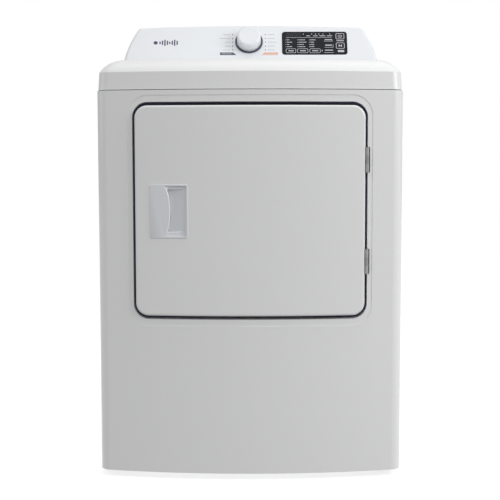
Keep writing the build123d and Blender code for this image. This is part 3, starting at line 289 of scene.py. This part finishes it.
# ---------------------------------------------------------------- drum fittings
# Wool felt bands glued to the fixed walls, a pressed glass lamp lens, and nylon lifters screwed in the drum.
felt = Finish("felt_grey", (0.42, 0.41, 0.38), 0.95)
fibres = felt.noise(1100.0, 6.0, felt.at((1.0, 1.0, 0.5)), 0.7)
felt.set("Base Color", felt.tint(fibres, (0.30, 0.29, 0.27), (0.52, 0.50, 0.47)))
felt.relief(fibres, 0.0004, 0.8)
felt.wear("drum_felts")

lens = Finish("lamp_lens", (0.92, 0.93, 0.93), 0.18, IOR=1.5, Transmission_Weight=0.6)
prisms = lens.node("TexVoronoi", {"feature": "F1"}, {"Vector": lens.spot, "Scale": 260.0}, out="Distance")
lens.set("Roughness", lens.span(prisms, 0.12, 0.3))
lens.relief(prisms, 0.0008, 0.6)
lens.wear("drum_lamp")

# ---------------------------------------------------------------- heater, exhaust and electrics
# Resistance wire wound on its bars, an aluminised exhaust pipe rolled with fine rings, a green circuit board
# with its tracks, and a black phenolic terminal block.
wire = Finish("heater_wire", (0.45, 0.40, 0.36), 0.45, Metallic=0.9)
turns = wire.wave(wire.along("Z") * 1600.0)
scale_marks = wire.noise(140.0, 4.0)
wire.set("Base Color", wire.tint(scale_marks, (0.30, 0.25, 0.23), (0.52, 0.48, 0.45)))
wire.relief(turns, 0.0008, 0.9)
wire.wear("heater_element")

pipe = Finish("aluminium_pipe", (0.78, 0.79, 0.80), 0.32, Metallic=1.0)
rings = pipe.noise(40.0, 3.0, pipe.at((0.4, 22.0, 0.4)))
pipe.set("Base Color", pipe.tint(rings, (0.68, 0.69, 0.70), (0.82, 0.83, 0.84)))
pipe.set("Roughness", pipe.span(rings, 0.26, 0.42, 0.3, 0.7))
pipe.relief(rings, 0.00008, 0.6)
pipe.wear("exhaust_duct")

board = Finish("board_green", (0.05, 0.22, 0.12), 0.35, Coat_Weight=0.5, Coat_Roughness=0.1)
tracks = board.node("TexBrick", {"offset": 0.5}, {
    "Vector": board.at((1.0, 0.2, 1.0)), "Scale": 60.0, "Mortar Size": 0.03,
    "Color1": (0, 0, 0, 1), "Color2": (0, 0, 0, 1), "Mortar": (1, 1, 1, 1)})
board.set("Base Color", board.tint(board.node("SeparateColor", {}, [tracks]),
                                   (0.035, 0.17, 0.09), (0.14, 0.36, 0.18)))
board.set("Roughness", board.span(board.noise(80.0, 2.0), 0.3, 0.42))
board.wear("control_board")

phenolic = Finish("terminal_black", (0.05, 0.05, 0.05), 0.5)
phenolic.set("Base Color", phenolic.tint(phenolic.noise(500.0, 4.0),
                                         (0.03, 0.03, 0.032), (0.075, 0.07, 0.065)))
phenolic.relief(phenolic.noise(1200.0, 2.0), 0.00004, 0.5)
phenolic.wear("terminal_block")

# ---------------------------------------------------------------- lint filter
# A white frame that slides down into the duct, with fine woven nylon mesh moulded into it.
weave = Finish("mesh_white", (0.80, 0.81, 0.82), 0.6)
threads = 5200.0
knots = weave.wave(weave.along("X") * threads) * weave.wave(weave.along("Z") * threads) * 0.5 + 0.5
weave.set("Base Color", weave.tint(knots, (0.42, 0.43, 0.44), (0.84, 0.85, 0.86)))
weave.relief(knots, 0.0004, 0.8)
weave.wear("lint_screen")

# ---------------------------------------------------------------- door surround
# A dark navy moulding in the opening, which shows as the thin dark line round the door.
navy = Finish("navy_trim", (0.035, 0.04, 0.09), 0.45)
navy.set("Base Color", navy.tint(navy.noise(60.0, 3.0), (0.046, 0.048, 0.110), (0.064, 0.066, 0.140)))
navy.relief(navy.noise(1800.0), 0.00004, 0.6)
navy.wear("door_surround")

# ---------------------------------------------------------------- mouldings in white plastic
# The console, the door's liner and handle, the knob, the lifters and the filter's frame are moulded in white
# with a satin skin, a touch cooler than the enamel.
plastic = Finish("white_plastic", (0.82, 0.83, 0.845), 0.38)
plastic.set("Base Color", plastic.tint(plastic.noise(3.0, 2.0),
                                       (0.770, 0.793, 0.823), (0.796, 0.816, 0.845)))
plastic.set("Roughness", plastic.span(plastic.noise(14.0, 3.0), 0.34, 0.44))
plastic.relief(plastic.noise(1500.0, 2.0), 0.00002, 0.5)
plastic.wear("console_fascia", "drum_baffles", "lint_filter_frame", "door_liner", "door_handle",
             "selector_knob")

# ---------------------------------------------------------------- door handle
# One moulding let into the door skin: a thin flange, a grip plate with a bowed edge on the left, and a scoop
# behind it that rises to the right-hand lip. It snaps in from the front.
HANDLE_WIDE, HANDLE_TALL, HANDLE_DEEP = 0.085, 0.120, 0.018
HANDLE_CORNER, HANDLE_ROUND = 0.007, 0.0008
handle_low, handle_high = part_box("door_handle")
handle_at = Vector((-0.180, -0.3404, (handle_low.z + handle_high.z) / 2))
handle_turn = math.radians(-6.64)


def alone(obj=None):
    """Leaves one object, or none, selected and active."""
    if bpy.context.object is not None and bpy.context.object.mode != "OBJECT":
        bpy.ops.object.mode_set(mode="OBJECT")
    bpy.ops.object.select_all(action="DESELECT")
    if obj is not None:
        obj.select_set(True)
        bpy.context.view_layer.objects.active = obj


def pick(kind, test):
    """In edit mode, selects the edges or faces whose middle and direction pass the test."""
    mesh = bpy.context.object.data
    bpy.ops.mesh.select_mode(type=kind)
    bpy.ops.mesh.select_all(action="DESELECT")
    shape = bmesh.from_edit_mesh(mesh)
    for item in shape.edges if kind == "EDGE" else shape.faces:
        if kind == "FACE":
            item.select_set(test(item.calc_center_median(), item.normal))
        else:
            one, two = item.verts[0].co, item.verts[1].co
            item.select_set(test((one + two) / 2, (two - one).normalized()))
    shape.select_flush_mode()
    bmesh.update_edit_mesh(mesh)


def block(name, low, high):
    """A box between two corners, its size in its mesh, left in object mode."""
    low, high = Vector(low), Vector(high)
    alone()
    bpy.ops.mesh.primitive_cube_add(size=1.0, location=(low + high) / 2)
    made = bpy.context.object
    made.name = made.data.name = name
    made.scale = high - low
    bpy.ops.object.transform_apply(location=True, rotation=True, scale=True)
    return made


def edit():
    bpy.ops.object.mode_set(mode="EDIT")


def done():
    bpy.ops.object.mode_set(mode="OBJECT")


def modify(obj, kind, **settings):
    """Adds a modifier and applies it."""
    alone(obj)
    added = obj.modifiers.new(kind.lower(), kind)
    for key, value in settings.items():
        setattr(added, key, value)
    bpy.ops.object.modifier_apply(modifier=added.name)


def settle(obj, finish, body, angle):
    """Smooths a finished piece, fixes its place in its mesh, and gives it its finish, body and slot."""
    alone(obj)
    bpy.ops.object.transform_apply(location=True, rotation=True, scale=True)
    bpy.ops.object.shade_smooth_by_angle(angle=math.radians(angle))
    obj.data.materials.clear()
    obj.data.materials.append(finish.material)
    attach(obj, body)


half_wide, half_tall = HANDLE_WIDE / 2, HANDLE_TALL / 2
handle = block("handle_insert", (-half_wide, 0.0, -half_tall), (half_wide, HANDLE_DEEP, half_tall))
edit()
pick("EDGE", lambda middle, along: abs(along.y) > 0.9)
bpy.ops.mesh.bevel(offset=HANDLE_CORNER, segments=8, affect="EDGES")
pick("FACE", lambda middle, normal: normal.y < -0.9)
bpy.ops.mesh.bevel(offset=HANDLE_ROUND, segments=2, affect="EDGES")
done()

# Right of the grip's bowed edge the face steps back, and the scoop is cut into that lower face.
grip_end, grip_bulge, mouth_half = -half_wide + 0.0395, 0.0080, half_tall - 0.0032
STEP_DEEP, SCOOP_DEEP, LIP_DEEP = 0.0040, 0.0125, 0.0050
RIM, RIM_FLARE = 0.0085, 0.0120


def bowed_cutter(name, right, low, high, deep):
    """A cutter whose left side follows the grip's bowed edge."""
    made = block(name, (grip_end, -0.004, low), (right, deep, high))
    edit()
    pick("EDGE", lambda middle, along: abs(along.z) > 0.9 and middle.x < grip_end + 0.001)
    bpy.ops.mesh.subdivide(number_cuts=19)
    done()
    for vertex in made.data.vertices:
        if vertex.co.x < grip_end + 0.001:
            vertex.co.x += grip_bulge * (1.0 - (vertex.co.z / mouth_half) ** 2)
    return made


def cut_away(piece, cutter):
    """Takes the cutter's shape out of a piece."""
    modify(piece, "BOOLEAN", operation="DIFFERENCE", object=cutter, solver="EXACT")
    bpy.data.objects.remove(cutter)


# The step's front-left edge lies further left, and furthest at its ends, so the grip's rim is a pale sloping
# ribbon that widens towards the top and bottom.
step = bowed_cutter("step", half_wide - 0.0028, -mouth_half, mouth_half, STEP_DEEP)
for vertex in step.data.vertices:
    if vertex.co.y < 0.0 and vertex.co.x < grip_end + grip_bulge + 0.001:
        vertex.co.x -= RIM + RIM_FLARE * (vertex.co.z / mouth_half) ** 6
cut_away(handle, step)

# The scoop's floor rises to a lip at its right, runs under the grip at its left and slopes up at its foot.
scoop = bowed_cutter("scoop", half_wide - 0.0068, -half_tall + 0.0058, half_tall - 0.0108, SCOOP_DEEP)
for vertex in scoop.data.vertices:
    if vertex.co.y > 0.01:
        if vertex.co.x > 0.02:
            vertex.co.y = LIP_DEEP
            vertex.co.x -= 0.004
        else:
            vertex.co.x -= 0.009
        vertex.co.z += 0.0095 if vertex.co.z < -0.05 else 0.0
alone(scoop)
edit()
pick("EDGE", lambda middle, along: middle.y > SCOOP_DEEP - 0.002 and abs(along.z) > 0.7)
bpy.ops.mesh.bevel(offset=0.004, segments=5, affect="EDGES")
done()
cut_away(handle, scoop)
modify(handle, "BEVEL", width=0.0008, segments=2, limit_method="ANGLE", angle_limit=math.radians(40.0),
       use_clamp_overlap=True)
handle.rotation_euler = (0.0, 0.0, handle_turn)
handle.location = handle_at
settle(handle, plastic, "door", 26.0)
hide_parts("door_handle")

# ---------------------------------------------------------------- dial
# The knob is a plain moulded cap with a soft front edge and a small sunk pointer, pushed on to the selector's
# shaft. The dark ring behind it is a separate satin moulding on the console's face.
lean = math.radians(30.0)          # how far the console's face leans back from upright
face_tilt = math.radians(90.0) - lean
FACE_FOOT = Vector((0.0, 0.140, 0.9475))
face_up = Vector((0.0, math.sin(lean), math.cos(lean)))
DIAL_X, DIAL_UP = -0.004, 0.0875 / math.cos(lean)
KNOB_RADIUS, KNOB_TALL, KNOB_GAP = 0.0315, 0.029, 0.0006
RING_RADIUS, RING_TALL, RING_WIDE = 0.037, 0.0025, 0.0045


def on_face(x, up):
    """A point on the console's sloping face: across, and up the slope."""
    return Vector((x, 0.0, 0.0)) + FACE_FOOT + face_up * up


slate = Finish("slate_ring", (0.05, 0.07, 0.11), 0.42)
slate.set("Base Color", slate.tint(slate.noise(90.0, 2.0), (0.042, 0.055, 0.088), (0.055, 0.07, 0.105)))
slate.relief(slate.noise(2200.0), 0.00003, 0.6)

alone()
bpy.ops.mesh.primitive_cylinder_add(vertices=96, radius=KNOB_RADIUS, depth=KNOB_TALL,
                                    location=(0.0, 0.0, KNOB_GAP + KNOB_TALL / 2))
knob = bpy.context.object
knob.name = knob.data.name = "selector_cap"
bpy.ops.object.transform_apply(location=True, rotation=True, scale=True)
edit()
front = KNOB_GAP + KNOB_TALL
pick("EDGE", lambda middle, along: middle.z > front - 0.0001)
bpy.ops.mesh.bevel(offset=0.0065, segments=8, affect="EDGES")
pick("FACE", lambda middle, normal: normal.z > 0.99 and middle.xy.length < 0.001)
bpy.ops.mesh.inset(thickness=0.003, depth=-0.0002)
bpy.ops.mesh.inset(thickness=0.006, depth=-0.0002)
bpy.ops.mesh.inset(thickness=0.008, depth=-0.0001)
pick("FACE", lambda middle, normal: normal.z < -0.99)
bpy.ops.mesh.inset(thickness=0.0025)
bpy.ops.mesh.extrude_region_move(TRANSFORM_OT_translate={"value": (0.0, 0.0, 0.012)})
pick("EDGE", lambda middle, along: middle.z < KNOB_GAP + 0.0001 and middle.xy.length > KNOB_RADIUS - 0.001)
bpy.ops.mesh.bevel(offset=0.0006, segments=2, affect="EDGES")
done()
notch = block("notch", (-0.0009, 0.0175, front - 0.0011), (0.0009, 0.0235, front + 0.002))
edit()
pick("EDGE", lambda middle, along: abs(along.z) > 0.9)
bpy.ops.mesh.bevel(offset=0.0008, segments=3, affect="EDGES")
done()
cut_away(knob, notch)
knob.rotation_euler = (face_tilt, 0.0, 0.0)
knob.location = on_face(DIAL_X, DIAL_UP)
settle(knob, plastic, "selector", 30.0)
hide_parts("selector_knob")

alone()
bpy.ops.mesh.primitive_cylinder_add(vertices=96, radius=RING_RADIUS, depth=RING_TALL,
                                    location=(0.0, 0.0, RING_TALL / 2))
ring = bpy.context.object
ring.name = ring.data.name = "dial_ring"
bpy.ops.object.transform_apply(location=True, rotation=True, scale=True)
edit()
pick("FACE", lambda middle, normal: abs(normal.z) > 0.99)
bpy.ops.mesh.inset(thickness=RING_WIDE)
bpy.ops.mesh.bridge_edge_loops()
done()
modify(ring, "BEVEL", width=0.0007, segments=3, limit_method="ANGLE", angle_limit=math.radians(40.0))
ring.rotation_euler = (face_tilt, 0.0, 0.0)
ring.location = on_face(DIAL_X, DIAL_UP)
settle(ring, slate, "cabinet", 35.0)
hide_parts("selector_ring")

# ---------------------------------------------------------------- display
# Black glass over the touch keys, bonded into the console, with its key outlines, rows of indicators and
# short dashes in place of words screen-printed in grey.
glass = Finish("display_glass", (0.012, 0.012, 0.016), 0.2, Specular_IOR_Level=0.12)
smears = glass.noise(22.0, 4.0)
glass.set("Base Color", glass.tint(smears, (0.011, 0.011, 0.015), (0.02, 0.02, 0.026)))
glass.set("Roughness", glass.span(smears, 0.10, 0.22, 0.3, 0.7))
glass.wear("display_panel")
grey_ink = Finish("grey_ink", (0.5, 0.51, 0.53), 0.5)
grey_ink.set("Base Color", grey_ink.tint(grey_ink.noise(400.0, 3.0), (0.44, 0.45, 0.47), (0.60, 0.61, 0.64)))
INK = 0.00012
DISPLAY_OUT = 0.0008
DISPLAY_FOOT = 0.0835 / math.cos(lean) - 0.037


def printed(x0, x1, up0, up1, out, corner=0.0, line=0.0):
    """A thin printed bar on the face, or only its outline when a line width is given."""
    alone()
    bpy.ops.mesh.primitive_plane_add(size=1.0, location=((x0 + x1) / 2, (up0 + up1) / 2, out))
    bar = bpy.context.object
    bar.scale = (x1 - x0, up1 - up0, 1.0)
    bpy.ops.object.transform_apply(location=True, rotation=True, scale=True)
    edit()
    bpy.ops.mesh.select_all(action="SELECT")
    if corner:
        bpy.ops.mesh.bevel(offset=corner, segments=4, affect="VERTICES")
    if line:
        bpy.ops.mesh.select_all(action="SELECT")
        bpy.ops.mesh.inset(thickness=line)
        bpy.ops.mesh.delete(type="FACE")
    done()
    modify(bar, "SOLIDIFY", thickness=INK, offset=1.0)
    return bar


def together(name, parts, finish):
    """Joins printed bars into one piece on the sloping face."""
    alone(parts[0])
    for part in parts:
        part.select_set(True)
    bpy.ops.object.join()
    made = bpy.context.object
    made.name = made.data.name = name
    made.rotation_euler = (face_tilt, 0.0, 0.0)
    made.location = FACE_FOOT
    settle(made, finish, "cabinet", 20.0)


def on_glass(x0, x1, up0, up1, **shape):
    return printed(x0, x1, DISPLAY_FOOT + up0, DISPLAY_FOOT + up1, DISPLAY_OUT, **shape)


KEY_ENDS = ((0.094, 0.121), (0.1245, 0.153), (0.157, 0.186))
DASH, DASH_PITCH = 0.0028, 0.0036
keys = [on_glass(x0, x1, 0.005, 0.019, corner=0.0035, line=0.0011) for x0, x1 in KEY_ENDS]
keys += [on_glass(x0 + 0.007, x1 - 0.006, 0.0105, 0.0135) for x0, x1 in KEY_ENDS]
rows = []
for up, widths in ((0.0240, (0.017, 0.020, 0.014)), (0.0310, (0.009, 0.015, 0.013)),
                   (0.0385, (0.017, 0.022, 0.014)), (0.0460, (0.010, 0.019, 0.015))):
    for x, wide in zip((0.0935, 0.1245, 0.1560), widths):
        rows.append(on_glass(x, x + 0.0018, up, up + 0.0022, corner=0.0008))
        for number in range(int(wide / DASH_PITCH)):
            start = x + DASH_PITCH * (number + 1)
            rows.append(on_glass(start, start + DASH, up, up + 0.0024))
rule = [on_glass(0.095, 0.217, 0.0542, 0.0551)]
top_row = [on_glass(x, x + wide, 0.0590, 0.0612) for x, wide in
           ((0.149, 0.010), (0.1675, 0.012), (0.184, 0.016), (0.2045, 0.014))]
top_row += [on_glass(x, x + 0.0024, 0.0645, 0.0675, corner=0.001)
            for x in (0.140, 0.1625, 0.173, 0.1815, 0.1925, 0.211)]
side_bars = [on_glass(0.1955, 0.2195, 0.0425, 0.0437), on_glass(0.198, 0.218, 0.0465, 0.0490),
             on_glass(0.199, 0.217, 0.0285, 0.0315), on_glass(0.197, 0.2205, 0.0225, 0.0236),
             on_glass(0.2195, 0.2205, 0.0225, 0.0320), on_glass(0.198, 0.219, 0.0125, 0.0152),
             on_glass(0.196, 0.221, 0.0055, 0.0066), on_glass(0.1895, 0.1915, 0.0100, 0.0145)]
squares = [on_glass(0.2275, 0.2505, up, up + 0.0195, corner=0.004, line=0.0015)
           for up in (0.0490, 0.0185)]
squares += [on_glass(0.2335, 0.2445, 0.0545, 0.0630, corner=0.003, line=0.0013),
            on_glass(0.2375, 0.2405, 0.0575, 0.0600, corner=0.001),
            on_glass(0.2345, 0.2370, 0.0245, 0.0320), on_glass(0.2410, 0.2435, 0.0245, 0.0320),
            on_glass(0.2370, 0.2410, 0.0272, 0.0292)]
squares += [on_glass(0.2295, 0.2490, 0.0430, 0.0455), on_glass(0.2320, 0.2490, 0.0075, 0.0140, corner=0.002)]
together("display_print", keys + rows + rule + top_row + side_bars + squares, grey_ink)

# The unlit digits at the top left are etched behind the glass and barely show.
ghost = Finish("unlit_digits", (0.035, 0.035, 0.04), 0.3)
ghost.set("Base Color", ghost.tint(ghost.noise(300.0, 2.0), (0.03, 0.03, 0.034), (0.045, 0.045, 0.05)))
digits = []
for x in (0.097, 0.1065, 0.118, 0.1275):
    digits += [on_glass(x, x + 0.0055, up, up + 0.0009) for up in (0.0580, 0.0630, 0.0680)]
    digits += [on_glass(x + side, x + side + 0.0009, up, up + 0.0038) for side in (-0.0009, 0.0055)
               for up in (0.0591, 0.0641)]
together("unlit_digits", digits, ghost)

# ---------------------------------------------------------------- printed marks
# Pad-printed on the console: five ticks each side of the dial with a row of dashes for each programme, a
# slate flag and a peach one under them, and a plain badge of bars at the left.
dark_ink = Finish("slate_ink", (0.08, 0.09, 0.13), 0.5)
dark_ink.set("Base Color", dark_ink.tint(dark_ink.noise(300.0, 3.0), (0.07, 0.08, 0.115), (0.10, 0.11, 0.15)))
pale_ink = Finish("pale_ink", (0.45, 0.46, 0.48), 0.5)
pale_ink.set("Base Color", pale_ink.tint(pale_ink.noise(300.0, 3.0), (0.40, 0.41, 0.43), (0.50, 0.51, 0.53)))
peach_ink = Finish("peach_ink", (0.75, 0.36, 0.24), 0.5)
peach_ink.set("Base Color", peach_ink.tint(peach_ink.noise(300.0, 3.0),
                                           (0.74, 0.43, 0.32), (0.80, 0.49, 0.38)))

TICK_REACH, TICK_HALF_WIDE, TICK_HALF_TALL = 0.0436, 0.0008, 0.0022
tick_ups = [DIAL_UP - 0.026 + 0.0124 * number for number in range(5)]
ticks = [printed(x - TICK_HALF_WIDE, x + TICK_HALF_WIDE, up - TICK_HALF_TALL, up + TICK_HALF_TALL, 0.0)
         for up in tick_ups for x in (DIAL_X - TICK_REACH, DIAL_X + TICK_REACH)]
together("dial_ticks", ticks, dark_ink)

ROW_REACH, ROW_PITCH, ROW_DASH, ROW_HALF_TALL = 0.0500, 0.0048, 0.0038, 0.0009
words = []
for up, left, right in zip(tick_ups, (4, 3, 3, 6, 4), (4, 4, 5, 4, 4)):
    starts = [DIAL_X - ROW_REACH - ROW_PITCH * number - ROW_DASH for number in range(left)]
    starts += [DIAL_X + ROW_REACH + ROW_PITCH * number for number in range(right)]
    words += [printed(x, x + ROW_DASH, up - ROW_HALF_TALL, up + ROW_HALF_TALL, 0.0) for x in starts]
together("programme_rows", words, pale_ink)


def flag(x_square, x_point, up0, up1):
    """A printed flag, square at one end and slanted at the other, where its lower corner runs on."""
    bar = printed(min(x_square, x_point), max(x_square, x_point), up0, up1, 0.0)
    for vertex in bar.data.vertices:
        if abs(vertex.co.x - x_point) < 0.0001 and vertex.co.y > (up0 + up1) / 2:
            vertex.co.x += 0.0085 if x_square > x_point else -0.0085
    return bar


flag_low, flag_high = DIAL_UP - 0.0425, DIAL_UP - 0.0340
together("flag_left", [flag(-0.081, -0.0374, flag_low, flag_high)], dark_ink)
together("flag_right", [flag(0.0728, 0.0292, flag_low, flag_high)], peach_ink)
bars = [printed(x + 0.0042 * number, x + 0.0042 * number + 0.0032, flag_low + 0.0032, flag_low + 0.0053, INK)
        for x in (-0.0745, 0.0428) for number in range(6)]
together("flag_rows", bars, grey_ink)

BADGE_UP = 0.0985
badge = [printed(-0.2585, -0.2475, BADGE_UP - 0.0055, BADGE_UP + 0.0055, 0.0, corner=0.0054)]
for number, tall in enumerate((0.0040, 0.0070, 0.0100, 0.0070, 0.0040, 0.0070, 0.0100, 0.0070)):
    x = -0.2430 + 0.0065 * number
    badge.append(printed(x, x + 0.0036, BADGE_UP - tall, BADGE_UP + tall, 0.0, corner=0.0017))
together("console_badge", badge, navy)
